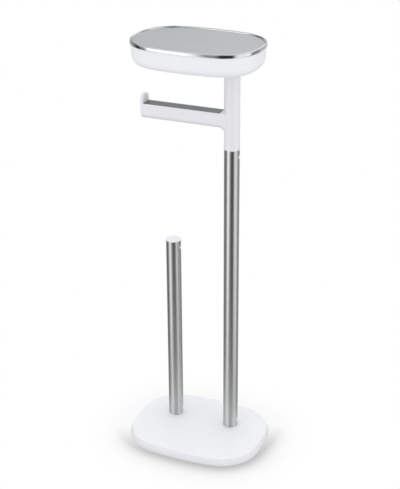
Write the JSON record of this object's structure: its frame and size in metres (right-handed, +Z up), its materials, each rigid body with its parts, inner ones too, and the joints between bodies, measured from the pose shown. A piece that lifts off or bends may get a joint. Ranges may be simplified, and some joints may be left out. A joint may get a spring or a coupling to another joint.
{
  "type": "toilet roll storage holder",
  "caption": "Free-standing toilet roll stand: weighted oval base, steel post with a side roll arm, short post for spare rolls, and an oval storage bowl with a lift-off steel lid.",
  "frame": {"origin": "on the floor, under the middle of the base outline", "axes": "+Z up along the posts, X along the base's long axis with the roll arm towards -X, front towards -Y"},
  "size_m": [0.236, 0.181, 0.7075],
  "materials": {
    "white_plastic": "satin white moulding",
    "cover_plastic": "fine matt moulding",
    "tube_steel": "polished tube with fine lengthwise grain",
    "rim_steel": "polished",
    "lid_steel": "satin brushed",
    "strip_steel": "satin brushed, dark in reflection",
    "weight_steel": "plain rolled plate",
    "zinc_steel": "zinc plated",
    "insert_brass": "turned",
    "pad_rubber": "matt"
  },
  "bodies": {
    "stand": {"base_shell": "white_plastic", "base_weight": "weight_steel", "base_floor": "cover_plastic", "base_screws": "zinc_steel", "grip_pad_1": "pad_rubber", "grip_pad_2": "pad_rubber", "grip_pad_3": "pad_rubber", "grip_pad_4": "pad_rubber", "main_foot_plug": "white_plastic", "spare_foot_plug": "white_plastic", "main_foot_insert": "insert_brass", "spare_foot_insert": "insert_brass", "main_foot_bolt": "zinc_steel", "spare_foot_bolt": "zinc_steel", "main_tube": "tube_steel", "spare_tube": "tube_steel", "spare_cap": "white_plastic", "upright": "white_plastic", "arm_plate": "strip_steel", "head_insert": "insert_brass", "bowl": "white_plastic", "bowl_washer": "zinc_steel", "bowl_bolt": "zinc_steel"},
    "lid": {"lid_rim": "rim_steel", "lid_panel": "lid_steel", "lid_liner": "white_plastic"}
  },
  "joints": [
    {"name": "lid_lift", "type": "slide", "parent": "stand", "child": "lid", "axis": [0, 0, 1], "range_m": [0, 0.1]}
  ]
}
